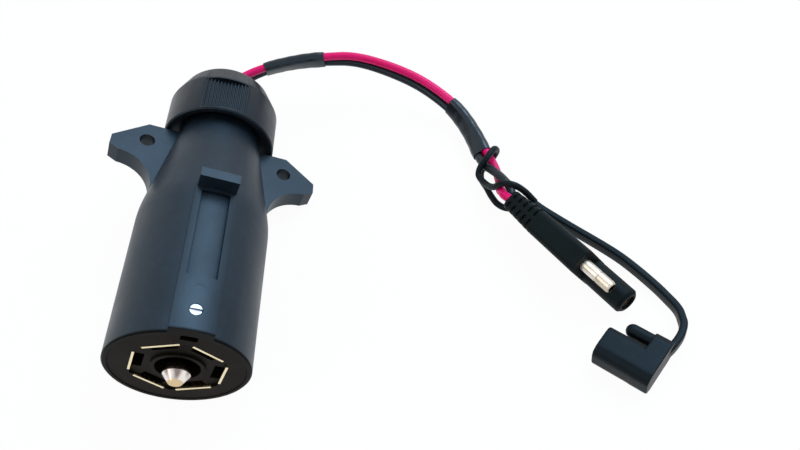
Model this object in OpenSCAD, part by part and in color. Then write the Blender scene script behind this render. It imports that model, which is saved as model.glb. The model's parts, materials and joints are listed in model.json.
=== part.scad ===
// Seven-way trailer plug with a two-wire pigtail, a small two-pole lead connector and its tethered cap.
// The plug lies rolled on its right ear. Row frame: origin at the centre of the mating face,
// -Y out of that face, +Z up. Plug frame: the same origin and Y axis, with +Z through the key rib.

/* [Plug body] */
// Outside diameter of the straight barrel
barrel_d = 45; // [42:0.5:54]
// Wall of the barrel around the contact insert
barrel_wall = 1.6; // [1.4:0.1:2.4]
// Length of the straight part of the barrel
barrel_len = 55; // [46:1:66]
// Length of the tapered part behind it
taper_len = 38; // [34:1:46]
// Diameter at the small end of the taper
taper_end_d = 30.4; // [29:0.2:31]
// Wall of the tapered part
taper_wall = 2.4; // [2:0.1:3]
// Diameter of the rear neck that carries the thread
neck_d = 28.4; // [27.6:0.2:28.8]
// Length of the rear neck
neck_len = 15.5; // [13:0.5:18]

/* [Key rib and latch bar] */
// Width of the key rib
key_w = 13.3; // [10:0.1:16]
// Height of the key rib above the barrel
key_h = 1.9; // [1.5:0.1:2.6]
// Depth of the rib's long recess
key_recess_h = 1.5; // [0.8:0.1:1.6]
// Width of the rib's long recess
key_recess_w = 9.3; // [6:0.1:9.6]
// Front end of the recess, behind the mating face
key_recess_y = 18.7; // [16:0.1:24]
// Length of the recess
key_recess_len = 32.9; // [22:0.1:33]
// Height of the latch bar above the barrel
latch_h = 6.8; // [5:0.1:9]
// Thickness of the latch bar along the plug
latch_t = 3.5; // [3:0.1:5]
// Front face of the latch bar, behind the mating face
latch_y = 52.9; // [52.2:0.1:60]

/* [Ears] */
// Thickness of each ear
ear_t = 7.2; // [5:0.1:9]
// Distance from the plug's axis to the ear tip
ear_reach = 37.2; // [33:0.1:42]
// Distance from the plug's axis to the ear hole
ear_hole_x = 25.2; // [24:0.1:27]
// Distance from the ear hole forward of the ear's rear edge
ear_hole_inset = 7.8; // [6.5:0.1:9]
// Diameter of the ear hole
ear_hole_d = 5.4; // [4:0.1:6]

/* [Contacts] */
// Distance from the axis to the middle of each blade
blade_apothem = 13.9; // [13:0.1:15]
// Width of each blade
blade_w = 11.6; // [9:0.1:12.5]
// Thickness of each blade
blade_t = 0.8; // [0.6:0.05:1.2]
// Diameter of the centre pin
pin_d = 8.6; // [7:0.1:9]
// How far the centre pin's tip stands out of the face
pin_proud = 4.9; // [3:0.1:7]
// Diameter of the well around the centre pin
pin_well_d = 14; // [12.5:0.1:15]
// Depth of the well around the centre pin
pin_well_depth = 10; // [6:0.5:14]
// Length of the insulating insert
insert_len = 24; // [20:0.5:28]

/* [Gland nut] */
// Outside diameter of the nut's front rim
nut_d = 41; // [38.5:0.5:44]
// Outside diameter of the nut's rear rim
nut_rear_d = 32.8; // [30:0.2:36]
// Length of the nut
nut_len = 26.5; // [25:0.5:32]
// Length of the nut's cylindrical front part
nut_straight = 16.8; // [14:0.1:19]
// Diameter of the hole for the wires
nut_hole_d = 15; // [14:0.5:18]
// Pitch of the thread
thread_pitch = 3; // [2:0.5:4]
// Turn of the nut away from the key rib, in degrees
nut_clock = 7; // [0:1:44]

/* [Two-pole connector] */
// Length of the connector
sae_len = 53; // [50:0.5:64]
// Length of the ribbed strain relief
sae_relief = 15; // [13.5:0.5:18]
// Distance from the wire end to the shoulder
sae_shoulder = 37.3; // [36:0.1:40]
// Thickness of the moulding at the shoulder
sae_t = 9.2; // [9:0.1:11]
// Distance between the two contacts
sae_pitch = 9.5; // [9.2:0.1:11]
// Diameter of the bare pin
sae_pin_d = 4.06; // [3.6:0.02:4.4]
// Length of the bare pin
sae_pin_len = 12.2; // [10:0.1:13]
// Outside diameter of the shroud around the socket
shroud_d = 8.9; // [8.4:0.1:9.2]

/* [Cap] */
// Length of the cap
cap_len = 18.4; // [16:0.1:23]
// Height of the cap
cap_h = 10; // [8:0.1:12]
// Width of the cap's socket tube
cap_tube_w = 11.4; // [10:0.1:11.6]
// Length of the cap's closed end
cap_back = 6; // [5:0.1:7]

/* [Wires] */
// Outside diameter of each wire
wire_d = 3.2; // [2.6:0.1:3.4]
// Wall of the shrink sleeves
sleeve_wall = 0.5; // [0.4:0.05:0.8]
// Width of the tether strap
strap_w = 4.4; // [3:0.1:5]
// Thickness of the tether strap
strap_t = 2.4; // [1.8:0.1:2.8]

/* [Hidden] */

$fn = 96;
cut = 0.5;              // overrun of every cutting tool
slot_gap = 0.05;        // around a part pressed or screwed into its seat
seat_gap = 0.12;        // around a part that drops into its seat
face_gap = 0.1;         // between faces that rest on each other
thread_gap = 0.3;       // between the neck's crests and the nut's bore
thread_h = 0.7;         // depth of the neck's thread, drawn as rings
bend_fn = 32;

barrel_r = barrel_d / 2;
bore_r = barrel_r - barrel_wall;
taper_end_r = taper_end_d / 2;
neck_r = neck_d / 2;
neck_y = barrel_len + taper_len;          // where the taper ends and the neck begins
table_z = -barrel_r;                      // everything lies on this plane

// The plug rolls about its axis until its right ear touches the plane it lies on.
ear_half = ear_t / 2;
roll = asin(barrel_r / norm([ear_reach, ear_half])) - atan2(ear_half, ear_reach);

taper_blend = 4;                          // half length of the round between barrel and taper
taper_slope = (barrel_r - taper_end_r) / taper_len;
taper_steps = 5;
bore_len = 46;                            // straight part of the inside
grommet_seat_r = neck_r - 1.7;
grommet_lip_r = grommet_seat_r - 1.7;
grommet_lip = 4.5;                        // length of the lip that the grommet seats on
edge = 0.5;                               // small chamfer on moulded rims

ear_y = neck_y - 0.5;                     // rear edge of the ears
ear_apex_x = ear_hole_x + 0.6;
ear_tip_y = ear_y - 9;
ear_tip_len = 4.2;
ear_scoop_r = 13.8;
ear_root_x = 12.6;

key_r = barrel_r + key_h;
latch_z = barrel_r + latch_h;
latch_w = key_w - 0.6;
screw_y = 7.1;
gate_y = 14;
gate_r = 1.9;
gate_h = 0.1;

recess_h = 0.8;                           // hexagonal recess between the blades
collar_w = 1.3;                           // collar left standing around the pin well
pocket_t = 3;                             // mating pocket inside each blade
pocket_w = 8.2;
pocket_len = 12;
blade_len = 31.5;
blade_front = 0.1;
insert_front = 0.2;
terminal_y = insert_len + 4;
boss_r = 3.2;
boss_h = 2.6;
lug_t = 0.8;
terminal_shank_r = 1.45;
terminal_head_r = 2.5;
terminal_head_h = 1.6;
pin_cone = 2.8;
pin_tip_r = pin_d / 4;
pin_shank_r = 3;
lug_drop = 1;
lug_ring_r = 2.9;
lug_barrel_r = 2.25;
lug_barrel_y = terminal_y + 4.2;
lug_barrel_len = 6;
lead_r = wire_d / 2;
lug_axis_r = blade_apothem + blade_t / 2 + lug_t / 2 + lug_drop;

retain_head_r = 1.9;
retain_head_h = 1.2;
retain_shank_r = 1.25;
square_w = 5;
square_t = 2.6;
square_z = bore_r - 3;

pair_half = lead_r + 0.15;                // half the spacing of the two wires
grommet_y = neck_y + grommet_lip + face_gap;
grommet_end = neck_y + neck_len + 2;
ring_t = 1.5;
ring_y = grommet_end + face_gap;
ring_r = neck_r - 0.8;
ring_hole_r = 6;

nut_y = neck_y + 0.2;
nut_r = nut_d / 2;
nut_rear_r = nut_rear_d / 2;
nut_end = nut_y + nut_len;
nut_hole_r = nut_hole_d / 2;
nut_bore_r = neck_r + thread_gap;
nut_mouth_r = nut_r - 2;
nut_mouth_len = 4;
nut_wall_y = ring_y + ring_t + face_gap;  // inner face of the nut's rear wall
patch_y = nut_y + 1.2;
patch_r = nut_r - 1.8;
patch_len = nut_straight - 1.8;
rib_pitch = 1.25;
rib_h = 0.55;
rib_count = 13;

function rolled(p) = [p[0] * cos(roll) + p[2] * sin(roll), p[1], p[2] * cos(roll) - p[0] * sin(roll)];
function clock(a, r, y) = rolled([r * sin(a), y, r * cos(a)]);

// Lead connector: its frame has X along it from the wire end, Z from socket to pin, and leans on its edge.
sae_x = 109.7;
sae_y = 62.6;
sae_heading = -56;
sae_lean = 26;
sae_round = 2.2;
sae_rest = (sae_t / 2 - sae_round) * (sin(sae_lean) + cos(sae_lean)) + sae_round;
sae_waist_t = 8.8;
sae_nose_t = 7.2;
sae_nose_half = 4.4;
sae_slots = 5;
sae_slot_x = 1.4;
sae_slot_pitch = 2.85;
sae_slot_w = 1.2;
sae_slot_h = 0.9;
sae_spine = 1.5;                          // spine left between the two rows of slots
sae_pin_r = sae_pin_d / 2;
sae_pin_root = 6;
sae_root_r = sae_pin_r - 0.3;
sae_pin_step = 0.3;                       // the root's length outside the shoulder
sae_contact_r = 2.6;
sae_socket_r = sae_pin_r + 0.05;
sae_socket_inset = 1;
sae_ax = [cos(sae_heading), sin(sae_heading), 0];
sae_mid = [
    sae_x - sin(sae_lean) * sae_pitch / 2 * -sin(sae_heading),
    sae_y - sin(sae_lean) * sae_pitch / 2 * cos(sae_heading),
    table_z + sae_rest + cos(sae_lean) * sae_pitch / 2
];

// Cap: X along it from mouth to closed end, Y towards its plug finger.
cap_x = 144.4;
cap_y = -4.6;
cap_heading = -40;
cap_finger_y = 6.7;
cap_finger_r = 2.3;
cap_finger_len = 15;
cap_tube_y = cap_finger_y - sae_pitch;
cap_back_half = 8.6;
cap_round = 3.2;
cap_socket_len = 12.5;

// Route of the wire pair beyond the grommet: x, y, z and the angle of red above its outer side.
pair_route = [
    [0, 116, 0, 90], [0, 121, 0, 90], [1.6, 126.6, 0, 98], [6.8, 131.6, 0, 110], [14.4, 135.2, 0, 118],
    [22, 137, -0.2, 118], [30, 138, -0.6, 112], [39, 138.3, -1.2, 104], [51, 137.6, -2.9, 92],
    [63, 134, -6, 80], [77, 126.8, -10.5, 68], [88.6, 115.8, -14.6, 60], [93.2, 108, -16.2, 54],
    [96.6, 99, -17.1, 44], [99, 90, -17.2, 20], [101, 84, -17, -15], [102.3, 80.8, -16.6, -45],
    [103.4, 77.4, -16.1, -75], [104.3, 74, -15.2, -100], [105, 70.6, -14.2, -134], [106, 67.4, -13.4, -184]
];
first_sleeve = [5, 8];                    // wire points that each sleeve starts and ends at
second_sleeve = [12, 15];
// Route of the tether from the cap to its loop.
tether_route = [
    [146.2, -0.4, -18], [149.6, 2.4, -18], [153.2, 6.8, -18.6], [154.8, 11.2, -19.2], [154.4, 16, -19.8],
    [152, 21.4, -20.2], [148.2, 27.8, -20.2], [141.4, 37.4, -20.2], [135, 44.4, -20.2],
    [128.4, 50.8, -20], [122, 56.8, -19.4], [117.4, 60.8, -18.4], [114.6, 63.2, -17.2]
];
// Route of the loop that is hitched round the wires.
loop_route = [
    [115.6, 63, -16.2], [112.4, 65, -12.4], [108.8, 65.2, -8.4], [105, 67, -8.8], [101.8, 69, -12.6],
    [99, 74, -16.2], [96.8, 79.4, -17], [97.6, 81.2, -15.2], [100.2, 83, -12.6], [103.4, 87.6, -12.8],
    [104.4, 90.4, -17.4], [101.6, 89.4, -21.2], [98.2, 85.2, -21.2], [97.6, 81, -21.2],
    [99.2, 76.4, -21.2], [100.6, 72, -21.2], [102.4, 68.2, -21.2], [105, 65.8, -21.2],
    [109.4, 64.8, -21.2], [112.6, 64.2, -20], [115.6, 62.8, -18.6]
];

// --- sweeps ---
function unit(v) = v / norm(v);
function tangent(p, i) = unit(p[min(i + 1, len(p) - 1)] - p[max(i - 1, 0)]);
function side_of(t) = unit([-t[1], t[0], 0]);
function point(p) = [p[0], p[1], p[2]];
// Triangles between each ring of n points and the next.
function wall_faces(n, last) = [for (i = [0:last - 1]) for (j = [0:n - 1])
    let (a = i * n + j, b = i * n + (j + 1) % n) each [[a, a + n, b + n], [a, b + n, b]]];
// Closed tube through one ring of points for each place on the path.
module skin_rings(rings) {
    n = len(rings[0]);
    last = len(rings) - 1;
    ends = [[for (j = [0:n - 1]) j], [for (j = [n - 1:-1:0]) last * n + j]];
    polyhedron([for (r = rings) each r], concat(wall_faces(n, last), ends), convexity = 8);
}
// The same with a second, inner wall, open at both ends.
module skin_tube(outer, inner) {
    n = len(outer[0]);
    last = len(outer) - 1;
    base = (last + 1) * n;
    out_walls = wall_faces(n, last);
    in_walls = [for (f = out_walls) [base + f[2], base + f[1], base + f[0]]];
    rims = [for (j = [0:n - 1]) each [
        [j, (j + 1) % n, base + (j + 1) % n, base + j],
        [last * n + (j + 1) % n, last * n + j, base + last * n + j, base + last * n + (j + 1) % n]
    ]];
    polyhedron([for (r = concat(outer, inner)) each r], concat(out_walls, in_walls, rims), convexity = 8);
}
function ring(c, s, u, outline) = [for (q = outline) c + q[0] * s + q[1] * u];
function round_outline(r, n = 8) = [for (k = [0:n - 1]) [r * cos(360 * k / n), r * sin(360 * k / n)]];
// Two half circles joined by straight sides, long way along X.
function slot_outline(half, r, n = 6) = concat(
    [for (k = [0:n]) [half + r * cos(180 * k / n - 90), r * sin(180 * k / n - 90)]],
    [for (k = [0:n]) [-half + r * cos(180 * k / n + 90), r * sin(180 * k / n + 90)]]
);
module sweep(path, outline) {
    skin_rings([for (i = [0:len(path) - 1])
        let (t = tangent(path, i), s = side_of(t)) ring(path[i], s, cross(t, s), outline)]);
}

// --- wire pair ---
pair_lead_in = 3.5;                       // straight run of the wires before the lead connector
pair = concat([[0, grommet_end, 0, 90]], pair_route, [
    [each (sae_mid - pair_lead_in * sae_ax), -228],
    [each sae_mid, -90 - 180 + sae_lean]
]);
pair_mid = [for (p = pair) point(p)];
function pair_tangent(i) = i == len(pair) - 1 ? sae_ax : i == 0 ? [0, 1, 0] : tangent(pair_mid, i);
function lay_side(i) = let (t = pair_tangent(i), s = side_of(t), a = pair[i][3])
    cos(a) * s + sin(a) * cross(t, s);
// One wire: way = 1 for red, -1 for black.
module pair_wire(way) {
    skin_rings([for (i = [0:len(pair) - 1]) let (t = pair_tangent(i), s = side_of(t))
        ring(pair_mid[i] + way * pair_half * lay_side(i), s, cross(t, s), round_outline(lead_r))]);
}
// Shrink sleeve round both wires between two places of the route.
function sleeve_rings(span, r) = [for (i = [span[0]:span[1]]) let (s = lay_side(i))
    ring(pair_mid[i], s, cross(pair_tangent(i), s), slot_outline(pair_half, r))];
module pair_sleeve(span) {
    skin_tube(sleeve_rings(span, lead_r + slot_gap + sleeve_wall), sleeve_rings(span, lead_r + slot_gap));
}

// --- frames ---
module in_plug() rotate([0, roll, 0]) children();
module along(y) translate([0, y, 0]) rotate([-90, 0, 0]) children();
module turned(profile) rotate([-90, 0, 0]) rotate_extrude() polygon(profile);
module at_clock(a) rotate([0, a, 0]) children();
module in_sae() translate([sae_x, sae_y, table_z + sae_rest]) rotate([0, 0, sae_heading])
    rotate([sae_lean, 0, 0]) children();
module in_cap() translate([cap_x, cap_y, table_z]) rotate([0, 0, cap_heading]) children();
module rod_x(x0, x1, r) translate([x0, 0, 0]) rotate([0, 90, 0]) cylinder(r = r, h = x1 - x0);

// --- plug body ---
function taper_r(y) = let (a = barrel_len - taper_blend, b = barrel_len + taper_blend)
    y <= a ? barrel_r
    : y < b ? barrel_r - taper_slope * pow(y - a, 2) / (4 * taper_blend)
    : barrel_r - taper_slope * (y - barrel_len);
module shell_outside() turned(concat(
    [[0, 0], [barrel_r - edge, 0], [barrel_r, edge]],
    [for (k = [0:taper_steps]) let (y = barrel_len + taper_blend * (2 * k / taper_steps - 1))
        [taper_r(y), y]],
    [[taper_end_r, neck_y], [taper_end_r, neck_y + 3], [neck_r, neck_y + 3]],
    [for (y = [neck_y + 4 : thread_pitch : neck_y + neck_len - thread_pitch]) each [
        [neck_r, y], [neck_r - thread_h, y + 0.4 * thread_pitch],
        [neck_r - thread_h, y + 0.6 * thread_pitch], [neck_r, y + 0.9 * thread_pitch]
    ]],
    [[neck_r, neck_y + neck_len - edge], [neck_r - edge, neck_y + neck_len], [0, neck_y + neck_len]]
));
module shell_inside() turned([
    [0, -cut], [bore_r, -cut], [bore_r, bore_len], [taper_end_r - taper_wall, neck_y - 3],
    [grommet_lip_r, neck_y], [grommet_lip_r, neck_y + grommet_lip], [grommet_seat_r, neck_y + grommet_lip],
    [grommet_seat_r, neck_y + neck_len + cut], [0, neck_y + neck_len + cut]
]);
// One ear, lying in the XY plane on the +X side.
module ear_outline() difference() {
    polygon([
        [ear_root_x, ear_y - 3], [taper_end_r - 1, ear_y], [ear_apex_x, ear_y], [ear_reach, ear_tip_y],
        [ear_reach, ear_tip_y - ear_tip_len], [ear_reach - 3.2, ear_tip_y - ear_tip_len - 1.8],
        [barrel_r - 1, barrel_len + 6], [ear_root_x + 4, barrel_len + 10]
    ]);
    translate([ear_reach - 3.2 + 0.5, ear_tip_y - ear_tip_len - 1.8 - ear_scoop_r]) circle(r = ear_scoop_r);
    translate([ear_hole_x, ear_y - ear_hole_inset]) circle(d = ear_hole_d);
}
module key_rib() {
    intersection() {
        along(0) cylinder(r = key_r, h = latch_y + latch_t);
        translate([-key_w / 2, 0, barrel_r - 3]) cube([key_w, latch_y + latch_t, key_h + 4]);
    }
    translate([-latch_w / 2, latch_y, barrel_r - 3]) cube([latch_w, latch_t, latch_h + 3]);
}
module key_cuts() {
    difference() {
        translate([-key_recess_w / 2, key_recess_y, barrel_r - 3])
            cube([key_recess_w, key_recess_len, key_h + 4]);
        along(key_recess_y - cut) cylinder(r = key_r - key_recess_h, h = key_recess_len + 2 * cut);
    }
    translate([0, gate_y, key_r - gate_h]) cylinder(r = gate_r, h = 1);
    translate([0, screw_y, bore_r - 1]) cylinder(r = retain_shank_r + 0.2, h = key_h + 5);
    translate([0, screw_y, key_r - retain_head_h - 0.1]) cylinder(r = retain_head_r + 0.15, h = 3);
}
module housing_shell() color("#23282c") in_plug() difference() {
    union() {
        shell_outside();
        key_rib();
        for (m = [0, 1]) mirror([m, 0, 0])
            translate([0, 0, -ear_half]) linear_extrude(ear_t) ear_outline();
    }
    shell_inside();
    key_cuts();
}

// --- insert and contacts ---
module blade_strip(gap, y0, y1) translate([-blade_w / 2 - gap, y0, blade_apothem - blade_t / 2 - gap])
    cube([blade_w + 2 * gap, y1 - y0, blade_t + 2 * gap]);
module contact_insert() color("#2b2724") in_plug() difference() {
    along(insert_front) cylinder(r = bore_r - seat_gap, h = insert_len - insert_front);
    difference() {
        rotate([0, 30, 0]) along(insert_front - cut)
            cylinder(r = (blade_apothem - blade_t / 2) / cos(30), h = recess_h + cut, $fn = 6);
        along(insert_front - 2 * cut) cylinder(r = pin_well_d / 2 + collar_w, h = recess_h + 3 * cut);
    }
    for (k = [0:5]) at_clock(30 + 60 * k) {
        blade_strip(slot_gap, -cut, insert_len + cut);
        translate([-pocket_w / 2, -cut, blade_apothem - blade_t / 2 - pocket_t])
            cube([pocket_w, pocket_len + cut, pocket_t]);
    }
    along(-cut) cylinder(d = pin_well_d, h = pin_well_depth + cut);
    along(0) cylinder(r = pin_shank_r + slot_gap, h = insert_len + cut);
    translate([-square_w / 2, -cut, square_z]) cube([square_w, screw_y + square_w / 2 + cut, square_t]);
    translate([0, screw_y, square_z - 3]) cylinder(r = retain_shank_r + 0.3, h = 9);
}
module blade() difference() {
    union() {
        blade_strip(0, blade_front, blade_len);
        translate([0, terminal_y, blade_apothem - blade_t / 2 - boss_h])
            cylinder(r = boss_r, h = boss_h + 0.1);
    }
    translate([0, terminal_y, blade_apothem - boss_h - 1])
        cylinder(r = terminal_shank_r + slot_gap, h = boss_h + 3);
}
module centre_pin() color("#c9ccd0") in_plug() difference() {
    turned([
        [0, -pin_proud], [pin_tip_r, -pin_proud], [pin_d / 2, pin_cone - pin_proud],
        [pin_d / 2, pin_well_depth - face_gap], [pin_shank_r, pin_well_depth - face_gap],
        [pin_shank_r, terminal_y + 4], [0, terminal_y + 4]
    ]);
    translate([0, terminal_y, -pin_shank_r - cut])
        cylinder(r = terminal_shank_r + slot_gap, h = 2 * pin_shank_r + 2 * cut);
}
// Slotted screw with its head's underside at the origin.
module slotted_screw(head_r, head_h, shank_r, shank_len) difference() {
    union() {
        cylinder(r = head_r, h = head_h);
        translate([0, 0, -shank_len]) cylinder(r = shank_r, h = shank_len + 0.1);
    }
    translate([-head_r - 1, -0.3, head_h * 0.5]) cube([2 * head_r + 2, 0.6, head_h]);
}
module at_terminal(a, r) at_clock(a) translate([0, terminal_y, r]) children();
blade_seat_r = blade_apothem + blade_t / 2 + lug_t + 0.04;
pin_seat_r = pin_shank_r + lug_t + 0.04;
module terminal_screws() color("#b9bcc0") in_plug() {
    shank = lug_t + blade_t + boss_h;
    for (k = [0:5]) at_terminal(30 + 60 * k, blade_seat_r)
        slotted_screw(terminal_head_r, terminal_head_h, terminal_shank_r, shank);
    at_terminal(0, pin_seat_r) slotted_screw(terminal_head_r, terminal_head_h, terminal_shank_r, shank);
}
// Live terminals: red on the one o'clock blade, black on the seven o'clock one.
red_clock = 30;
black_clock = 210;
module washer(r) difference() {
    cylinder(r = r, h = lug_t);
    translate([0, 0, -cut]) cylinder(r = terminal_shank_r + slot_gap, h = lug_t + 2 * cut);
}
module clamp_washers() color("#a8abb0") in_plug() {
    for (k = [1, 2, 4, 5]) at_terminal(30 + 60 * k, blade_seat_r - lug_t - 0.02) washer(lug_ring_r);
    at_terminal(0, pin_seat_r - lug_t - 0.02) washer(terminal_head_r);
}
module ring_lug() {
    translate([0, terminal_y, blade_seat_r - lug_t - 0.02]) washer(lug_ring_r);
    translate([-1.4, terminal_y + 2.2, blade_seat_r - lug_t - 0.02]) cube([2.8, 2.4, lug_t]);
    difference() {
        translate([0, lug_barrel_y, lug_axis_r]) rotate([-90, 0, 0])
            cylinder(r = lug_barrel_r, h = lug_barrel_len);
        translate([0, lug_barrel_y + 1, lug_axis_r]) rotate([-90, 0, 0])
            cylinder(r = lead_r + slot_gap, h = lug_barrel_len);
    }
}
module ring_lugs() color("#c4b48a") in_plug() for (a = [red_clock, black_clock]) at_clock(a) ring_lug();
module retaining_screw() color("#d0d3d6") in_plug() translate([0, screw_y, key_r - retain_head_h - 0.05])
    slotted_screw(retain_head_r, retain_head_h, retain_shank_r, key_r - retain_head_h - square_z + 0.6);
module square_nut() color("#b9bcc0") in_plug() translate([0, screw_y, square_z]) difference() {
    translate([-square_w / 2 + 0.1, -square_w / 2, 0.1])
        cube([square_w - 0.2, square_w - 0.1, square_t - 0.3]);
    translate([0, 0, -cut]) cylinder(r = retain_shank_r + slot_gap, h = square_t + 2 * cut);
}

// --- leads inside the plug ---
// From a lug's barrel to the wire's hole in the grommet; z1 is that hole's height.
module inner_lead(a, z1, route) sweep(concat(
    [clock(a, lug_axis_r, lug_barrel_y + 1.2), clock(a, lug_axis_r, lug_barrel_y + lug_barrel_len + 1)],
    route,
    [[0, grommet_y - 4, z1], [0, grommet_y + 2, z1], [0, grommet_end - 2, z1], [0, grommet_end, z1]]
), round_outline(lead_r));
red_lead_route = [[12.2, 49, 6.6], [8.4, 62, 4.8], [4, 77, 3]];
black_lead_route = [[-12.2, 49, -6.6], [-8.4, 62, -4.8], [-4, 77, -3]];

// --- rear end ---
module wire_grommet() color("#2c2c2c") difference() {
    along(grommet_y) cylinder(r = grommet_seat_r - 0.1, h = grommet_end - grommet_y);
    for (m = [-1, 1]) translate([0, 0, m * pair_half])
        along(grommet_y - cut) cylinder(r = lead_r + slot_gap, h = grommet_end - grommet_y + 2 * cut);
}
module slip_ring() color("#3a3d40") difference() {
    along(ring_y) cylinder(r = ring_r, h = ring_t);
    along(ring_y - cut) cylinder(r = ring_hole_r, h = ring_t + 2 * cut);
}
// Toothed outline of one knurled flat: the metal outside it is cut away.
module patch_cutter() translate([0, patch_y, 0]) rotate([-90, 0, 0]) linear_extrude(patch_len) {
    half = rib_count * rib_pitch / 2;
    polygon(concat(
        [[-nut_r, -nut_r - 2], [-nut_r, -patch_r - rib_h], [-half, -patch_r - rib_h]],
        [for (k = [0:rib_count - 1]) let (x = -half + k * rib_pitch) each [
            [x, -patch_r], [x + 0.35 * rib_pitch, -patch_r],
            [x + 0.5 * rib_pitch, -patch_r - rib_h], [x + 0.85 * rib_pitch, -patch_r - rib_h]
        ]],
        [[half, -patch_r], [half + 0.3, -patch_r - rib_h], [nut_r, -patch_r - rib_h], [nut_r, -nut_r - 2]]
    ));
}
module gland_nut() color("#24292d") in_plug() difference() {
    turned([
        [0, nut_y], [nut_r - edge, nut_y], [nut_r, nut_y + edge], [nut_r, nut_y + nut_straight],
        [nut_rear_r + 0.5, nut_end - 1.1], [nut_rear_r - 0.3, nut_end], [0, nut_end]
    ]);
    along(nut_y - cut) cylinder(r = nut_mouth_r, h = nut_mouth_len + cut);
    along(nut_y) cylinder(r = nut_bore_r, h = nut_wall_y - nut_y);
    along(nut_y) cylinder(r = nut_hole_r, h = nut_len + cut);
    along(nut_end - 1) cylinder(r1 = nut_hole_r, r2 = nut_hole_r + 1.5, h = 1.5);
    for (k = [0:1]) rotate([0, 180 * k - nut_clock, 0]) patch_cutter();
}

// --- lead connector ---
// Rounded rectangle, t thick, standing across the moulding.
module edge_plate(x, t, z0, z1) for (z = [z0 + sae_round, z1 - sae_round]) for (m = [-1, 1])
    translate([x, m * (t / 2 - sae_round), z]) rotate([0, 90, 0])
        cylinder(r = sae_round, h = 0.4, $fn = bend_fn);
// A slot of the relief: across the upper edge to its spine, and down one side.
module relief_slot(x) {
    half = (sae_nose_t + (sae_waist_t - sae_nose_t) * x / sae_relief) / 2;
    nose_z = sae_pitch / 2 + sae_nose_half;
    top_z = nose_z + (sae_pitch + sae_waist_t / 4 - nose_z) * x / sae_relief;
    translate([x, sae_spine / 2, top_z - sae_slot_h]) cube([sae_slot_w, sae_waist_t, 2 * sae_slot_h]);
    translate([x, half - sae_slot_h, -sae_waist_t])
        cube([sae_slot_w, 2 * sae_slot_h, sae_pitch + 2 * sae_waist_t]);
}
module turned_x(profile) rotate([90, 0, 90]) rotate_extrude() polygon(profile);
module lead_moulding() color("#1d1e20") in_sae() difference() {
    union() {
        hull() {
            edge_plate(0, sae_nose_t, sae_pitch / 2 - sae_nose_half, sae_pitch / 2 + sae_nose_half);
            edge_plate(sae_relief - 0.4, sae_waist_t, -sae_waist_t / 4, sae_pitch + sae_waist_t / 4);
        }
        hull() {
            edge_plate(sae_relief - 0.4, sae_waist_t, -sae_waist_t / 4, sae_pitch + sae_waist_t / 4);
            edge_plate(sae_shoulder - 0.4, sae_t, -sae_t / 2, sae_pitch + sae_t / 2);
        }
        turned_x([
            [0, sae_shoulder - 1], [shroud_d / 2, sae_shoulder - 1], [shroud_d / 2, sae_len - 2 * edge],
            [shroud_d / 2 - 2 * edge, sae_len], [0, sae_len]
        ]);
    }
    for (k = [0:sae_slots - 1]) for (m = [0, 1])
        mirror([0, m, 0]) relief_slot(sae_slot_x + k * sae_slot_pitch);
    rod_x(sae_shoulder - sae_pin_root / 2, sae_len + cut, sae_contact_r + slot_gap);
    translate([0, 0, sae_pitch])
        rod_x(sae_shoulder - sae_pin_root, sae_shoulder + cut, sae_root_r + slot_gap);
}
module lead_pin() color("#d8d2c0") in_sae() translate([0, 0, sae_pitch]) turned_x([
    [0, sae_shoulder - sae_pin_root + 0.1], [sae_root_r, sae_shoulder - sae_pin_root + 0.1],
    [sae_root_r, sae_shoulder + sae_pin_step], [sae_pin_r, sae_shoulder + sae_pin_step],
    [sae_pin_r, sae_shoulder + sae_pin_len * 0.5], [sae_pin_r - 0.25, sae_shoulder + sae_pin_len * 0.5 + 0.4],
    [sae_pin_r, sae_shoulder + sae_pin_len * 0.5 + 0.8], [sae_pin_r, sae_shoulder + sae_pin_len - 0.8],
    [sae_pin_r - 0.35, sae_shoulder + sae_pin_len], [sae_pin_r - 0.75, sae_shoulder + sae_pin_len],
    [sae_pin_r - 0.85, sae_shoulder + sae_pin_len - 5], [0, sae_shoulder + sae_pin_len - 6]
]);
module lead_socket() color("#cfae62") in_sae() difference() {
    rod_x(sae_shoulder - sae_pin_root / 2 + 0.1, sae_len - sae_socket_inset, sae_contact_r);
    rod_x(sae_shoulder - sae_pin_root / 2 + 1.5, sae_len, sae_socket_r);
}

// --- cap and tether ---
module cap_block(x0, x1, y0, y1) hull() for (x = [x0, x1 - 0.4]) for (y = [y0 + cap_round, y1 - cap_round])
    for (z = [cap_round, cap_h - cap_round]) translate([x, y, z])
        rotate([0, 90, 0]) cylinder(r = cap_round, h = 0.4, $fn = bend_fn);
module dust_cap() color("#1d1e20") in_cap() difference() {
    union() {
        cap_block(-cap_len, -cap_back / 2, cap_tube_y - cap_tube_w / 2, cap_tube_y + cap_tube_w / 2);
        cap_block(-cap_back, 0, -cap_back_half, cap_back_half);
        translate([0, cap_finger_y, cap_h / 2]) {
            rod_x(-cap_finger_len + cap_finger_r, -cap_back + 1, cap_finger_r);
            translate([-cap_finger_len + cap_finger_r, 0, 0]) sphere(r = cap_finger_r);
        }
    }
    translate([0, cap_tube_y, cap_h / 2])
        rod_x(-cap_len - cut, -cap_len + cap_socket_len, sae_pin_r + slot_gap);
}
module cap_tether() color("#1d1e20")
    sweep(tether_route, [
        for (q = [[-1, -1], [1, -1], [1, 1], [-1, 1]]) [q[0] * strap_t / 2, q[1] * strap_w / 2]
    ]);
module tether_loop() color("#1d1e20") sweep(loop_route, round_outline(strap_t / 2));

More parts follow.
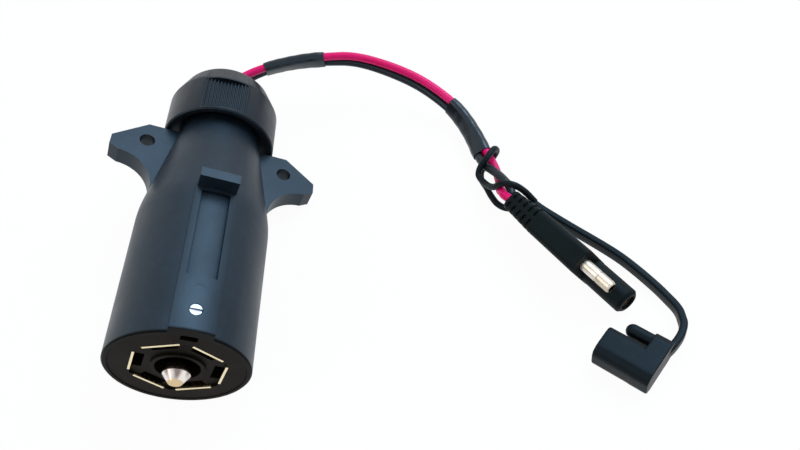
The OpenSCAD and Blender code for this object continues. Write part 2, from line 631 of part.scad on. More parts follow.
housing_shell();
contact_insert();
color("#d9c48a") in_plug() at_clock(30) blade();  // blade_1
color("#d9c48a") in_plug() at_clock(90) blade();  // blade_2
color("#d9c48a") in_plug() at_clock(150) blade();  // blade_3
color("#d9c48a") in_plug() at_clock(210) blade();  // blade_4
color("#d9c48a") in_plug() at_clock(270) blade();  // blade_5
color("#d9c48a") in_plug() at_clock(330) blade();  // blade_6
centre_pin();
terminal_screws();
ring_lugs();
clamp_washers();
retaining_screw();
square_nut();
wire_grommet();
slip_ring();
gland_nut();
color("#eb1f5c") inner_lead(red_clock, pair_half, red_lead_route);  // red_lead
color("#1b1c1e") inner_lead(black_clock, -pair_half, black_lead_route);  // black_lead
color("#eb1f5c") pair_wire(1);  // red_wire
color("#1b1c1e") pair_wire(-1);  // black_wire
color("#17181a") pair_sleeve(first_sleeve);  // front_sleeve
color("#17181a") pair_sleeve(second_sleeve);  // rear_sleeve
lead_moulding();
lead_pin();
lead_socket();
dust_cap();
cap_tether();
tether_loop();
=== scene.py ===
import bpy
import bmesh
import json
import math
from mathutils import Vector, Matrix

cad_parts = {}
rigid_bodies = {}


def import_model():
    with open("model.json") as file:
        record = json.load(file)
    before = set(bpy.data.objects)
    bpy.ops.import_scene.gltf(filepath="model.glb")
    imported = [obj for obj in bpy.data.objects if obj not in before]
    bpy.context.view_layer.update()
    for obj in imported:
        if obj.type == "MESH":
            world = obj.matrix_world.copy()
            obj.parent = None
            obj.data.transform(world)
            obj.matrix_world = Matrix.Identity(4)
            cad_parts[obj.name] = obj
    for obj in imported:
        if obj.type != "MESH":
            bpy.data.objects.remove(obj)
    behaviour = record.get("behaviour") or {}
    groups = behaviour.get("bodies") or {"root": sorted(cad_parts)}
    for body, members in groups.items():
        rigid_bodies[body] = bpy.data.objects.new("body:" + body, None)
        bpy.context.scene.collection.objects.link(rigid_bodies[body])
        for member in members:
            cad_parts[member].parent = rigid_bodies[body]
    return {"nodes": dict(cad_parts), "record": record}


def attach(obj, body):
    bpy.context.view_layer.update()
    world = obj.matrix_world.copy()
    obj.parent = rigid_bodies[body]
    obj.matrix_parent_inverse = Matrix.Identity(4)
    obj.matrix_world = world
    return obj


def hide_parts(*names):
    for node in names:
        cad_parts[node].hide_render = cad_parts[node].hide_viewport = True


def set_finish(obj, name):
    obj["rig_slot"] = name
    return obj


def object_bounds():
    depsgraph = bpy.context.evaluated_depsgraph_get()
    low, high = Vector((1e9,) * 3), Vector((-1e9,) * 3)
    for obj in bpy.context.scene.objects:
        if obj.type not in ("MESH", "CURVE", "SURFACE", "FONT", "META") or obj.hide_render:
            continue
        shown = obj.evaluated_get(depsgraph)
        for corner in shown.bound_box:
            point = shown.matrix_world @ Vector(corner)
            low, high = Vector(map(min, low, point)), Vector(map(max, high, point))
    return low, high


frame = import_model()
cad_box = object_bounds()
nodes = frame["nodes"]
MM = 0.001
scene = bpy.context.scene
top = scene.collection


def vec(*p):
    return Vector(p) * MM


# ---------------------------------------------------------------- camera
CAMERA_PLACE = vec(97.713, -108.971, 196.188)
CAMERA_RIGHT = Vector((0.9879, -0.0145, -0.1545)).normalized()
CAMERA_FORWARD = Vector((-0.1127, 0.6167, -0.7791)).normalized()
LENS_MM = 34.12
SENSOR_MM = 36.0


def place_camera():
    data = bpy.data.cameras.new("camera")
    data.lens = LENS_MM
    data.sensor_width = SENSOR_MM
    data.clip_start = 0.01
    data.clip_end = 20.0
    cam = bpy.data.objects.new("camera", data)
    up = CAMERA_RIGHT.cross(CAMERA_FORWARD).normalized()
    m = Matrix((CAMERA_RIGHT, up, -CAMERA_FORWARD)).transposed().to_4x4()
    m.translation = CAMERA_PLACE
    cam.matrix_world = m
    top.objects.link(cam)
    scene.camera = cam


# ---------------------------------------------------------------- sweeps
def catmull(points, steps):
    """Smooth curve through points of any length; the first three numbers are the place."""
    out = []
    n = len(points)
    for i in range(n - 1):
        p0, p1 = points[max(i - 1, 0)], points[i]
        p2, p3 = points[i + 1], points[min(i + 2, n - 1)]
        d = [
            math.sqrt(max((Vector(a[:3]) - Vector(b[:3])).length, 1e-6))
            for a, b in ((p0, p1), (p1, p2), (p2, p3))
        ]
        if i == 0:
            d[0] = d[1]
        if i == n - 2:
            d[2] = d[1]
        for k in range(steps):
            u = k / steps
            row = []
            for c in range(len(p1)):
                a, b, e, f = p0[c], p1[c], p2[c], p3[c]
                if i == 0:
                    a = 2 * b - e
                if i == n - 2:
                    f = 2 * e - b
                m1 = (b - a) / d[0] - (e - a) / (d[0] + d[1]) + (e - b) / d[1]
                m2 = (e - b) / d[1] - (f - b) / (d[1] + d[2]) + (f - e) / d[2]
                m1 *= d[1]
                m2 *= d[1]
                row.append((2 * u**3 - 3 * u**2 + 1) * b + (u**3 - 2 * u**2 + u) * m1
                           + (3 * u**2 - 2 * u**3) * e + (u**3 - u**2) * m2)
            out.append(row)
    out.append(list(points[-1]))
    return out


def tangents(path):
    n = len(path)
    return [(path[min(i + 1, n - 1)] - path[max(i - 1, 0)]).normalized() for i in range(n)]


def side_of(t):
    return Vector((-t.y, t.x, 0)).normalized()


def mesh_object(name, bm, smooth=40):
    bmesh.ops.recalc_face_normals(bm, faces=bm.faces)
    me = bpy.data.meshes.new(name)
    bm.to_mesh(me)
    bm.free()
    ob = bpy.data.objects.new(name, me)
    top.objects.link(ob)
    shade(ob, smooth)
    return ob


def shade(ob, angle=40):
    me = ob.data
    me.polygons.foreach_set("use_smooth", [True] * len(me.polygons))
    me.set_sharp_from_angle(angle=math.radians(angle))
    me.update()


def skin(bm, rings, closed_ends=True):
    verts = [[bm.verts.new(p) for p in r] for r in rings]
    n = len(rings[0])
    for a, b in zip(verts, verts[1:]):
        for j in range(n):
            bm.faces.new((a[j], a[(j + 1) % n], b[(j + 1) % n], b[j]))
    if closed_ends:
        bm.faces.new(list(reversed(verts[0])))
        bm.faces.new(verts[-1])
    return verts


def circle(r, n):
    return [(r * math.cos(2 * math.pi * k / n), r * math.sin(2 * math.pi * k / n)) for k in range(n)]


def rounded_box(w, h, r, n=4):
    pts = []
    for cx, cy, a0 in ((w / 2 - r, h / 2 - r, 0), (-w / 2 + r, h / 2 - r, 90), (-w / 2 + r, -h / 2 + r, 180),
                       (w / 2 - r, -h / 2 + r, 270)):
        for k in range(n + 1):
            a = math.radians(a0 + 90 * k / n)
            pts.append((cx + r * math.cos(a), cy + r * math.sin(a)))
    return pts


def stadium(half, r, n=8):
    pts = []
    for k in range(n + 1):
        a = math.radians(180 * k / n - 90)
        pts.append((half + r * math.cos(a), r * math.sin(a)))
    for k in range(n + 1):
        a = math.radians(180 * k / n + 90)
        pts.append((-half + r * math.cos(a), r * math.sin(a)))
    return pts


def ring_at(c, s, u, outline):
    return [c + s * a + u * b for a, b in outline]


def tube(name, path, outline):
    """Tube along path; its outline's first way is level, its second stands up."""
    bm = bmesh.new()
    ts = tangents(path)
    rings = []
    for p, t in zip(path, ts):
        s = side_of(t)
        rings.append(ring_at(p, s, t.cross(s), outline))
    skin(bm, rings)
    return mesh_object(name, bm)


# ---------------------------------------------------------------- cords
# Routes repeat the part's own, in millimetres; the pair's fourth number is its lay in degrees.
SAE_AX = Vector((0.55919, -0.82904, 0.0))
SAE_MID = Vector((107.9737, 61.4356, -12.8215))
PAIR = [
    [0, 110.5, 0, 90], [0, 116, 0, 90], [0, 121, 0, 90], [1.6, 126.6, 0, 98], [6.8, 131.6, 0, 110],
    [14.4, 135.2, 0, 118], [22, 137, -0.2, 118], [30, 138, -0.6, 112], [39, 138.3, -1.2, 104],
    [51, 137.6, -2.9, 92], [63, 134, -6, 80], [77, 126.8, -10.5, 68], [88.6, 115.8, -14.6, 60],
    [93.2, 108, -16.2, 54], [96.6, 99, -17.1, 44], [99, 90, -17.2, 20], [101, 84, -17, -15],
    [102.3, 80.8, -16.6, -45], [103.4, 77.4, -16.1, -75], [104.3, 74, -15.2, -100],
    [105, 70.6, -14.2, -134], [106, 67.4, -13.4, -184],
    [*(SAE_MID - 3.5 * SAE_AX), -228], [*SAE_MID, -244],
]
FIRST_SLEEVE = (5, 8)
SECOND_SLEEVE = (12, 15)
TETHER = [
    [146.2, -0.4, -18], [149.6, 2.4, -18], [153.2, 6.8, -18.6], [154.8, 11.2, -19.2], [154.4, 16, -19.8],
    [152, 21.4, -20.2], [148.2, 27.8, -20.2], [141.4, 37.4, -20.2], [135, 44.4, -20.2],
    [128.4, 50.8, -20], [122, 56.8, -19.4], [117.4, 60.8, -18.4], [114.6, 63.2, -17.2],
]
LOOP = [
    [115.6, 63, -16.2], [112.4, 65, -12.4], [108.8, 65.2, -8.4], [105, 67, -8.8], [101.8, 69, -12.6],
    [99, 74, -16.2], [96.8, 79.4, -17], [97.6, 81.2, -15.2], [100.2, 83, -12.6], [103.4, 87.6, -12.8],
    [104.4, 90.4, -17.4], [101.6, 89.4, -21.2], [98.2, 85.2, -21.2], [97.6, 81, -21.2],
    [99.2, 76.4, -21.2], [100.6, 72, -21.2], [102.4, 68.2, -21.2], [105, 65.8, -21.2],
    [109.4, 64.8, -21.2], [112.6, 64.2, -20], [115.6, 62.8, -18.6],
]
WIRE_R = 1.6
PAIR_HALF = 1.75
STRAP_W = 4.4
STRAP_T = 2.4
STRAP_ROUND = 0.7
PAIR_REACH = 138.1  # the furthest that the pair's middle goes from the face
STRAP_LOW = -20.19  # the strap stands on its edge on the table
LOOP_LOW = -21.19
STRAP_REACH = 154.7  # the furthest that the strap goes to the right
SLEEVE_WALL = 0.5
SLEEVE_BORE_EASE = 0.04  # a sleeve's inside, off its wires
SLEEVE_EASE = 0.05  # added outside the wall
SLEEVE_ROLL = 0.16  # how far a sleeve draws in at its ends
SLEEVE_PINCH = 0.10  # how far it sinks between the wires
SLEEVE_PINCH_W = 0.9
SLEEVE_RIPPLE = 0.05
STEPS = 6


def pair_frames():
    rows = catmull(PAIR, STEPS)
    mids = [Vector((r[0], min(r[1], PAIR_REACH), r[2])) for r in rows]
    ts = tangents(mids)
    ts[0], ts[-1] = Vector((0, 1, 0)), SAE_AX
    lays = []
    for r, t in zip(rows, ts):
        s = side_of(t)
        a = math.radians(r[3])
        lays.append(s * math.cos(a) + t.cross(s) * math.sin(a))
    return mids, ts, lays


def make_wire(name, way):
    mids, ts, lays = pair_frames()
    path = [(m + lay * way * PAIR_HALF) * MM for m, lay in zip(mids, lays)]
    ob = tube(name, path, circle(WIRE_R * MM, 20))
    return ob, path


def make_sleeve(name, span):
    """Heat-shrunk sleeve: hugs both wires, with rolled ends and a soft waist between them."""
    mids, ts, lays = pair_frames()
    first, last = span[0] * STEPS, span[1] * STEPS
    bore = [(a * MM, b * MM) for a, b in stadium(PAIR_HALF, WIRE_R + SLEEVE_BORE_EASE, 10)]
    rings, inner = [], []
    count = last - first
    for k, i in enumerate(range(first, last + 1)):
        s = lays[i]
        u = ts[i].cross(s)
        near = min(k, count - k) / 2.0
        roll = -SLEEVE_ROLL * max(0.0, 1 - near)
        ripple = SLEEVE_RIPPLE * math.sin(k * 1.7) if near >= 1 else 0.0
        r = WIRE_R + SLEEVE_EASE + SLEEVE_WALL + roll + ripple
        pts = []
        for a, b in stadium(PAIR_HALF, r, 10):
            waist = 1 - SLEEVE_PINCH * math.exp(-((a / SLEEVE_PINCH_W) ** 2))
            pts.append((a * MM, b * waist * MM))
        rings.append(ring_at(mids[i] * MM, s, u, pts))
        inner.append(ring_at(mids[i] * MM, s, u, bore))
    bm = bmesh.new()
    outside = skin(bm, rings, False)
    inside = skin(bm, inner, False)
    n = len(rings[0])
    for end in (0, -1):
        a, b = outside[end], inside[end]
        for j in range(n):
            bm.faces.new((a[j], a[(j + 1) % n], b[(j + 1) % n], b[j]))
    return mesh_object(name, bm, 50)


def within(points, low, right):
    """The smooth curve through points, kept off the table and inside its own widest reach."""
    return [Vector((min(x, right), y, max(z, low))) * MM for x, y, z in catmull(points, STEPS)]


def make_strap():
    path = within(TETHER, STRAP_LOW, STRAP_REACH)
    ob = tube("tether_strap", path, rounded_box(STRAP_T * MM, STRAP_W * MM, STRAP_ROUND * MM))
    return ob, path


def make_loop():
    path = within(LOOP, LOOP_LOW, STRAP_REACH)
    ob = tube("tether_noose", path, circle(STRAP_T / 2 * MM, 16))
    return ob, path


def make_cords():
    made = {}
    for node, name, way in (("red_wire", "red_wire_run", 1), ("black_wire", "black_wire_run", -1)):
        ob, path = make_wire(name, way)
        made[node] = (ob, path)
        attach(ob, "plug")
        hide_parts(node)
    made["front_sleeve"] = (make_sleeve("front_shrink", FIRST_SLEEVE), None)
    made["rear_sleeve"] = (make_sleeve("rear_shrink", SECOND_SLEEVE), None)
    made["cap_tether"] = make_strap()
    made["tether_loop"] = make_loop()
    for node in ("front_sleeve", "rear_sleeve", "cap_tether", "tether_loop"):
        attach(made[node][0], "plug")
        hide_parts(node)
    return made


# ---------------------------------------------------------------- materials
class Graph:
    """Small helper round one material's node tree."""

    def __init__(self, name):
        self.mat = bpy.data.materials.new(name)
        self.mat.use_nodes = True
        self.nt = self.mat.node_tree
        self.nt.nodes.clear()
        self.out = self.nt.nodes.new("ShaderNodeOutputMaterial")
        self.bsdf = self.nt.nodes.new("ShaderNodeBsdfPrincipled")
        self.link(self.bsdf, "BSDF", self.out, "Surface")
        self.coord = self.nt.nodes.new("ShaderNodeTexCoord")

    def link(self, a, ao, b, bi):
        self.nt.links.new(a.outputs[ao], b.inputs[bi])

    def noise(self, scale, detail=3.0, rough=0.55, stretch=None):
        n = self.nt.nodes.new("ShaderNodeTexNoise")
        n.inputs["Scale"].default_value = scale
        n.inputs["Detail"].default_value = detail
        n.inputs["Roughness"].default_value = rough
        if stretch:
            m = self.nt.nodes.new("ShaderNodeMapping")
            m.inputs["Scale"].default_value = stretch
            self.link(self.coord, "Object", m, "Vector")
            self.link(m, "Vector", n, "Vector")
        else:
            self.link(self.coord, "Object", n, "Vector")
        return n

    def span(self, src, out, low, high, a=0.3, b=0.7):
        r = self.nt.nodes.new("ShaderNodeMapRange")
        r.inputs["From Min"].default_value = a
        r.inputs["From Max"].default_value = b
        r.inputs["To Min"].default_value = low
        r.inputs["To Max"].default_value = high
        self.link(src, out, r, "Value")
        return r

    def mix(self, fac_node, fac_out, a, b):
        m = self.nt.nodes.new("ShaderNodeMix")
        m.data_type = "RGBA"
        self.link(fac_node, fac_out, m, 0)
        for key, val in ((6, a), (7, b)):
            if isinstance(val, tuple):
                m.inputs[key].default_value = (*val, 1)
            else:
                self.nt.links.new(val, m.inputs[key])
        return m

    def bump(self, height_node, height_out, strength, distance, normal=None):
        b = self.nt.nodes.new("ShaderNodeBump")
        b.inputs["Strength"].default_value = strength
        b.inputs["Distance"].default_value = distance
        self.link(height_node, height_out, b, "Height")
        if normal is not None:
            self.link(normal, "Normal", b, "Normal")
        return b


SKY = (0.58, 0.80, 1.0)  # the cool light that most of the plastics throw back
WHITE = (1.0, 1.0, 1.0)


def plastic(name, base, tint, worn, rough, grain=2600, grain_h=0.04, specular=0.5, coat=0.0, shine=SKY):
    """Moulded plastic or rubber: clouded colour, worn specks and a fine grain, whose height is in mm."""
    g = Graph(name)
    cloud = g.noise(55, 4)
    fine = g.noise(grain, 2)
    speck = g.noise(1500, 1, 0.4)
    mask = g.span(cloud, "Fac", 0.0, 1.0, 0.35, 0.68)
    col = g.mix(mask, "Result", base, tint)
    wear = g.span(g.noise(320, 5), "Fac", 0.0, 0.22, 0.50, 0.72)
    col2 = g.mix(wear, "Result", col.outputs[2], worn)
    dust = g.span(speck, "Fac", 0.0, 0.35, 0.70, 0.80)
    col3 = g.mix(dust, "Result", col2.outputs[2], worn)
    g.nt.links.new(col3.outputs[2], g.bsdf.inputs["Base Color"])
    r = g.span(cloud, "Fac", rough - 0.05, rough + 0.07)
    g.link(r, "Result", g.bsdf, "Roughness")
    b1 = g.bump(fine, "Fac", 0.35, grain_h * MM)
    b2 = g.bump(g.noise(260, 3), "Fac", 0.25, 0.12 * MM, b1)
    g.link(b2, "Normal", g.bsdf, "Normal")
    g.bsdf.inputs["Specular IOR Level"].default_value = specular
    g.bsdf.inputs["Coat Weight"].default_value = coat
    g.bsdf.inputs["Coat Roughness"].default_value = 0.25
    g.bsdf.inputs["Specular Tint"].default_value = (*shine, 1)
    return g.mat


def metal(name, base, tint, rough, brushed=(1, 1, 1), scale=900, reflection_bands=None, grain=0.25):
    """Metal with a finely brushed surface; its streaks, if asked for, are broad light and dark bands along
    the plug's axis: painted reflections of the surroundings.
    """
    g = Graph(name)
    cloud = g.noise(140, 4) if reflection_bands is None else g.noise(reflection_bands, 1, 0.4, (1, 0.02, 1))
    lines = g.noise(scale, 3, 0.6, brushed)
    mask = g.span(cloud, "Fac", 0.0, 1.0, *((0.35, 0.7) if reflection_bands is None else (0.46, 0.56)))
    col = g.mix(mask, "Result", base, tint)
    g.nt.links.new(col.outputs[2], g.bsdf.inputs["Base Color"])
    g.bsdf.inputs["Metallic"].default_value = 1.0
    r = g.span(lines, "Fac", rough - 0.06, rough + 0.12)
    g.link(r, "Result", g.bsdf, "Roughness")
    b = g.bump(lines, "Fac", grain, 0.02 * MM)
    g.link(b, "Normal", g.bsdf, "Normal")
    return g.mat


def recolored(mat, factor, color):
    """Turns the material's colour to another where factor, a node's output, says so."""
    nt = mat.node_tree
    bsdf = next(n for n in nt.nodes if n.type == "BSDF_PRINCIPLED")
    old = bsdf.inputs["Base Color"].links[0].from_socket
    m = nt.nodes.new("ShaderNodeMix")
    m.data_type = "RGBA"
    nt.links.new(factor, m.inputs[0])
    nt.links.new(old, m.inputs[6])
    m.inputs[7].default_value = (*color, 1)
    nt.links.new(m.outputs[2], bsdf.inputs["Base Color"])
    return bsdf


def changed_along(mat, low, high, color, gloss=None):
    """Changes the material's colour, and its gloss where given, between two depths behind the face, in mm."""
    nt = mat.node_tree
    coord = next(n for n in nt.nodes if n.type == "TEX_COORD")
    cut = nt.nodes.new("ShaderNodeSeparateXYZ")
    nt.links.new(coord.outputs["Object"], cut.inputs[0])
    r = nt.nodes.new("ShaderNodeMapRange")
    r.inputs["From Min"].default_value = low * MM
    r.inputs["From Max"].default_value = high * MM
    nt.links.new(cut.outputs["Y"], r.inputs["Value"])
    bsdf = recolored(mat, r.outputs["Result"], color)
    if gloss:
        k = nt.nodes.new("ShaderNodeMapRange")
        k.inputs["To Min"].default_value, k.inputs["To Max"].default_value = gloss
        nt.links.new(r.outputs["Result"], k.inputs["Value"])
        nt.links.new(k.outputs["Result"], bsdf.inputs["Specular IOR Level"])


def paint_hollow_shade(mat, dark):
    """Painted shade: darkens the hollow that the marking step marked, standing in for the shade inside it."""
    mark = mat.node_tree.nodes.new("ShaderNodeAttribute")
    mark.attribute_name = "hollow"
    recolored(mat, mark.outputs["Fac"], dark)


def mark_shaded_hollow(ob, way, radius):
    """Marks the points nearer than radius to the piece's own axis, where the hollow's painted shade goes."""
    me = ob.data
    mid = sum((v.co for v in me.vertices), Vector()) / len(me.vertices)
    mark = me.attributes.new("hollow", "FLOAT", "POINT")
    for v, d in zip(me.vertices, mark.data):
        off = v.co - mid
        d.value = 1.0 if (off - way * off.dot(way)).length < radius else 0.0


PLASTICS = {
    "housing_plastic": dict(base=(0.004, 0.008, 0.013), tint=(0.007, 0.012, 0.019),
                            worn=(0.022, 0.033, 0.047), rough=0.41),
    "nut_plastic": dict(base=(0.005, 0.007, 0.010), tint=(0.008, 0.011, 0.015), worn=(0.024, 0.028, 0.034),
                        rough=0.38, specular=0.26),
    # Painted reflection: the insert's warm brown stands in for the warm surroundings that the front face
    # throws back.
    "insert_plastic": dict(base=(0.006, 0.005, 0.003), tint=(0.009, 0.007, 0.005), worn=(0.020, 0.018, 0.013),
                           rough=0.55, specular=0.06, shine=WHITE),
    "grommet_rubber": dict(base=(0.008, 0.008, 0.008), tint=(0.013, 0.013, 0.013), worn=(0.03, 0.03, 0.03),
                           rough=0.65, specular=0.2),
    "ring_plastic": dict(base=(0.02, 0.021, 0.023), tint=(0.028, 0.03, 0.032), worn=(0.05, 0.05, 0.05),
                         rough=0.5),
    "red_insulation": dict(base=(0.90, 0.004, 0.17), tint=(0.80, 0.003, 0.13), worn=(0.92, 0.03, 0.22),
                           rough=0.36, grain=1800, grain_h=0.02, specular=0.22, shine=WHITE),
    "black_insulation": dict(base=(0.007, 0.008, 0.010), tint=(0.011, 0.012, 0.014),
                             worn=(0.028, 0.03, 0.034), rough=0.36, grain=1800, grain_h=0.02, specular=0.35),
    "shrink_sleeve": dict(base=(0.004, 0.005, 0.007), tint=(0.006, 0.008, 0.010), worn=(0.018, 0.022, 0.028),
                          rough=0.24, grain=1200, specular=0.45, coat=0.10),
    "lead_rubber": dict(base=(0.004, 0.006, 0.006), tint=(0.006, 0.009, 0.009), worn=(0.014, 0.018, 0.019),
                        rough=0.5, grain=2200, grain_h=0.05, specular=0.10),
    "cap_rubber": dict(base=(0.003, 0.005, 0.006), tint=(0.005, 0.008, 0.010), worn=(0.013, 0.018, 0.021),
                       rough=0.42, grain=2200, grain_h=0.05, specular=0.13),
}
METALS = {
    "contact_brass": dict(base=(0.90, 0.80, 0.56), tint=(0.80, 0.68, 0.44), rough=0.3),
    # Painted reflection: the centre pin's and the screw's broad light and dark streaks stand in for their
    # surroundings.
    "pin_nickel": dict(base=(0.84, 0.79, 0.76), tint=(0.26, 0.21, 0.19), rough=0.2, brushed=(1, 6, 1),
                       scale=1400, reflection_bands=210, grain=0.12),
    "screw_steel": dict(base=(0.47, 0.49, 0.52), tint=(0.30, 0.32, 0.35), rough=0.36, reflection_bands=420, grain=0.12),
    "lug_brass": dict(base=(0.80, 0.70, 0.46), tint=(0.66, 0.56, 0.36), rough=0.35),
    "lead_contact": dict(base=(0.74, 0.70, 0.63), tint=(0.46, 0.38, 0.26), rough=0.28, scale=300, grain=0.06),
}


def make_materials():
    m = {name: plastic(name, **look) for name, look in PLASTICS.items()}
    m.update({name: metal(name, **look) for name, look in METALS.items()})
    # Painted shade and painted reflection: the housing's rim takes the face's dark warm brown and dull gloss,
    # standing in for the shade and the warm reflection on the front.
    changed_along(m["housing_plastic"], 1.1, 0.3, (0.005, 0.004, 0.003), (0.43, 0.05))
    # Painted shade: behind their front edges the blades are darkened, standing in for the shade inside their
    # pockets; only the front edges stay bright.
    changed_along(m["contact_brass"], 0.3, 0.9, (0.10, 0.075, 0.04))
    # The centre pin is darker behind its cone and golden at its tip.
    changed_along(m["pin_nickel"], -1.9, -1.2, (0.10, 0.08, 0.06))
    changed_along(m["pin_nickel"], -4.4, -4.7, (0.66, 0.50, 0.28))
    # Painted shade: the lead pin's hollow is darkened, standing in for the shade inside it.
    paint_hollow_shade(m["lead_contact"], (0.02, 0.018, 0.016))
    return m


def dress(ob, mat):
    ob.data.materials.clear()
    ob.data.materials.append(mat)


def slot_of(node):
    for s in frame["record"]["subparts"]:
        if s["node"] == node:
            return s["material_slot"]
    raise ValueError(node)


# ---------------------------------------------------------------- softened copies of CAD nodes
def welded(node):
    bm = bmesh.new()
    bm.from_mesh(nodes[node].data)
    bmesh.ops.remove_doubles(bm, verts=bm.verts, dist=2e-6)
    bmesh.ops.dissolve_degenerate(bm, edges=bm.edges, dist=1e-6)
    return bm


FLAT_WIDTH = 0.25 * MM  # a wide face's area over its perimeter
CURVE_TURNS = (0.3, 12)  # degrees between the faces of a curved surface
TURNED_SLACK = 0.14 * MM


def flatten(ob):
    """Wide faces that meet nothing at a small angle are flat ones, and shade so."""
    bm = bmesh.new()
    bm.from_mesh(ob.data)
    for f in bm.faces:
        turns = [math.degrees(e.calc_face_angle(0.0)) for e in f.edges if len(e.link_faces) == 2]
        wide = f.calc_area() / max(f.calc_perimeter(), 1e-9) > FLAT_WIDTH
        if wide and not any(CURVE_TURNS[0] < a < CURVE_TURNS[1] for a in turns):
            f.smooth = False
    bm.to_mesh(ob.data)
    bm.free()


def rounded_copy(node, body, width, segments=2, angle=32, shortest=0.0):
    """The node's own shape with its sharp edges rounded, save those cut from pieces under shortest mm."""
    bm = welded(node)
    bmesh.ops.dissolve_limit(bm, angle_limit=math.radians(0.6), verts=bm.verts, edges=bm.edges)
    weight = bm.edges.layers.float.new("bevel_weight_edge")
    for e in bm.edges:
        sharp = len(e.link_faces) == 2 and e.calc_face_angle(0.0) > math.radians(angle)
        e[weight] = 1.0 if sharp and e.calc_length() >= shortest * MM else 0.0
    me = bpy.data.meshes.new(node + "_body")
    bm.to_mesh(me)
    bm.free()
    ob = bpy.data.objects.new(node + "_body", me)
    top.objects.link(ob)
    mod = ob.modifiers.new("round", "BEVEL")
    mod.width = width * MM
    mod.segments = segments
    mod.limit_method = "WEIGHT"
    mod.use_clamp_overlap = True
    mod.miter_outer = "MITER_ARC"
    apply_modifiers(ob)
    shade(ob, 35)
    flatten(ob)
    even = ob.modifiers.new("even", "WEIGHTED_NORMAL")
    even.keep_sharp = True
    even.weight = 80
    apply_modifiers(ob)
    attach(ob, body)
    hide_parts(node)
    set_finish(ob, slot_of(node))
    return ob


def turned_normals(ob, radii):
    """Faces that lie on a turned surface round the plug's axis shade as that surface."""
    me = ob.data
    normals = [n.vector.copy() for n in me.corner_normals]
    for f in me.polygons:
        reach = [math.hypot(me.vertices[i].co.x, me.vertices[i].co.z) for i in f.vertices]
        if any(all(abs(d - r * MM) < TURNED_SLACK for d in reach) for r in radii):
            for k in f.loop_indices:
                c = me.vertices[me.loops[k].vertex_index].co
                normals[k] = Vector((c.x, 0, c.z)).normalized()
    me.normals_split_custom_set(normals)


def melted_copy(node, body, voxel, passes):
    """The node's shape as soft rubber: remeshed finely, then relaxed."""
    bm = welded(node)
    me = bpy.data.meshes.new(node + "_body")
    bm.to_mesh(me)
    bm.free()
    ob = bpy.data.objects.new(node + "_body", me)
    top.objects.link(ob)
    r = ob.modifiers.new("remesh", "REMESH")
    r.mode = "VOXEL"
    r.voxel_size = voxel * MM
    s = ob.modifiers.new("relax", "SMOOTH")
    s.factor = 0.5
    s.iterations = passes
    apply_modifiers(ob)
    shade(ob, 60)
    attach(ob, body)
    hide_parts(node)
    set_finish(ob, slot_of(node))
    return ob


def apply_modifiers(ob):
    bpy.context.view_layer.update()
    dg = bpy.context.evaluated_depsgraph_get()
    me = bpy.data.meshes.new_from_object(ob.evaluated_get(dg))
    old = ob.data
    ob.modifiers.clear()
    ob.data = me
    bpy.data.meshes.remove(old)


# ---------------------------------------------------------------- stage and light
def ray_factor(nt):
    """1 for rays from the camera, from gloss and through glass."""
    path = nt.nodes.new("ShaderNodeLightPath")
    a = nt.nodes.new("ShaderNodeMath")
    a.operation = "MAXIMUM"
    nt.links.new(path.outputs["Is Camera Ray"], a.inputs[0])
    nt.links.new(path.outputs["Is Glossy Ray"], a.inputs[1])
    b = nt.nodes.new("ShaderNodeMath")
    b.operation = "MAXIMUM"
    nt.links.new(a.outputs[0], b.inputs[0])
    nt.links.new(path.outputs["Is Transmission Ray"], b.inputs[1])
    return b


FLOOR_HALF = 2.5
FLOOR_DROP = 0.2 * MM
FLOOR_GLOW = 0.96  # how much of the floor's look is plain white; the rest takes the shadow


def make_floor(z):
    bm = bmesh.new()
    bmesh.ops.create_grid(bm, x_segments=8, y_segments=8, size=FLOOR_HALF)
    for v in bm.verts:
        v.co.z = z
    ob = mesh_object("floor", bm)
    g = Graph("floor_white")
    g.bsdf.inputs["Base Color"].default_value = (0.95, 0.95, 0.95, 1)
    g.bsdf.inputs["Specular IOR Level"].default_value = 0.0
    grain = g.noise(30, 3)
    r = g.span(grain, "Fac", 0.8, 0.95)
    g.link(r, "Result", g.bsdf, "Roughness")
    glow = g.nt.nodes.new("ShaderNodeEmission")
    glow.inputs["Color"].default_value = (1, 1, 1, 1)
    glow.inputs["Strength"].default_value = 1.0
    f = ray_factor(g.nt)
    k = g.nt.nodes.new("ShaderNodeMath")
    k.operation = "MULTIPLY"
    k.inputs[1].default_value = FLOOR_GLOW
    g.nt.links.new(f.outputs[0], k.inputs[0])
    mix = g.nt.nodes.new("ShaderNodeMixShader")
    g.link(k, "Value", mix, 0)
    g.nt.links.new(g.bsdf.outputs[0], mix.inputs[1])
    g.nt.links.new(glow.outputs[0], mix.inputs[2])
    g.nt.links.new(mix.outputs[0], g.out.inputs["Surface"])
    dress(ob, g.mat)


def make_world():
    w = bpy.data.worlds.new("world")
    scene.world = w
    w.use_nodes = True
    nt = w.node_tree
    nt.nodes.clear()
    out = nt.nodes.new("ShaderNodeOutputWorld")
    soft = nt.nodes.new("ShaderNodeBackground")
    soft.inputs["Color"].default_value = (0.95, 0.97, 1.0, 1)
    soft.inputs["Strength"].default_value = 0.32
    white = nt.nodes.new("ShaderNodeBackground")
    white.inputs["Color"].default_value = (1, 1, 1, 1)
    white.inputs["Strength"].default_value = 1.0
    mix = nt.nodes.new("ShaderNodeMixShader")
    nt.links.new(ray_factor(nt).outputs[0], mix.inputs[0])
    nt.links.new(soft.outputs[0], mix.inputs[1])
    nt.links.new(white.outputs[0], mix.inputs[2])
    nt.links.new(mix.outputs[0], out.inputs["Surface"])


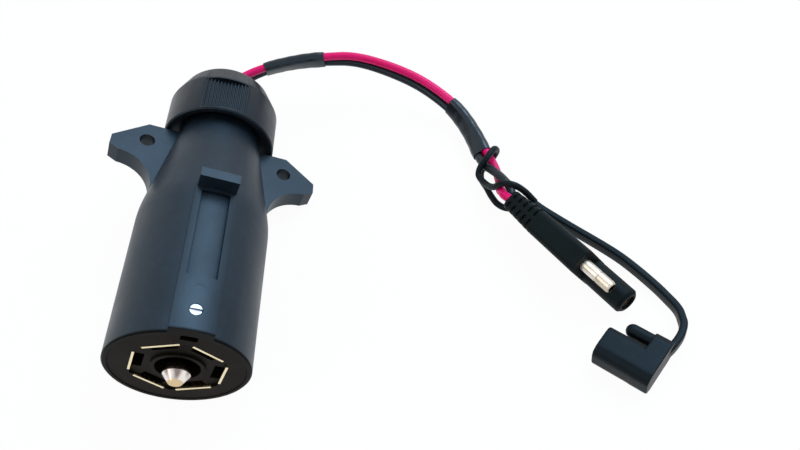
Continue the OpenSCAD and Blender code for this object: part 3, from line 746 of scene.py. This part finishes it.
def area(name, place, target, size, power, color):
    data = bpy.data.lights.new(name, "AREA")
    data.shape = "RECTANGLE"
    data.size, data.size_y = size
    data.energy = power
    data.color = color
    ob = bpy.data.objects.new(name, data)
    ob.location = place
    ob.rotation_euler = (Vector(target) - Vector(place)).to_track_quat("-Z", "Y").to_euler()
    top.objects.link(ob)


def make_lights():
    middle = (0.06, 0.06, 0.0)
    area("key", (0.55, 0.45, 0.85), middle, (0.8, 0.7), 11, (0.62, 0.82, 1.0))
    area("fill", (-0.7, -0.3, 0.8), middle, (0.8, 0.8), 3, (1.0, 0.90, 0.80))


# ---------------------------------------------------------------- putting it together
KEY_R = 24.4  # the key rib's top, round the plug's axis
KEY_FLOOR_R = 22.9  # the floor of its recess
LEAD_HOLLOW_R = 1.45


def make_bodies():
    housing = rounded_copy("housing_shell", "plug", 0.35, shortest=0.6)
    turned_normals(housing, (KEY_R, KEY_FLOOR_R))
    rounded_copy("gland_nut", "gland_nut", 0.05, segments=1)
    rounded_copy("contact_insert", "plug", 0.12)
    rounded_copy("centre_pin", "plug", 0.45, segments=3, angle=20)
    for k in range(1, 7):
        rounded_copy("blade_%d" % k, "plug", 0.08)
    rounded_copy("retaining_screw", "plug", 0.12)
    rounded_copy("wire_grommet", "plug", 0.2)
    rounded_copy("slip_ring", "slip_ring", 0.2)
    pin = rounded_copy("lead_pin", "plug", 0.15)
    mark_shaded_hollow(pin, SAE_AX, LEAD_HOLLOW_R * MM)
    moulding = melted_copy("lead_moulding", "plug", 0.17, 3)
    cap = melted_copy("dust_cap", "plug", 0.22, 24)
    return pin, moulding, cap


def dress_all(cords, mats):
    """Each CAD node and each piece with a slot takes its slot's material."""
    for s in frame["record"]["subparts"]:
        node, name = s["node"], s["material_slot"]
        if node in cords:
            dress(cords[node][0], mats[name])
            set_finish(cords[node][0], name)
        dress(nodes[node], mats[name])
    for ob in list(bpy.data.objects):
        if ob.get("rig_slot") and ob.type == "MESH":
            dress(ob, mats[ob["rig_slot"]])


place_camera()
cords = make_cords()
mats = make_materials()
pin, moulding, cap = make_bodies()
dress_all(cords, mats)

make_floor(cad_box[0].z - FLOOR_DROP)
make_world()
make_lights()
scene.view_settings.view_transform = "Standard"
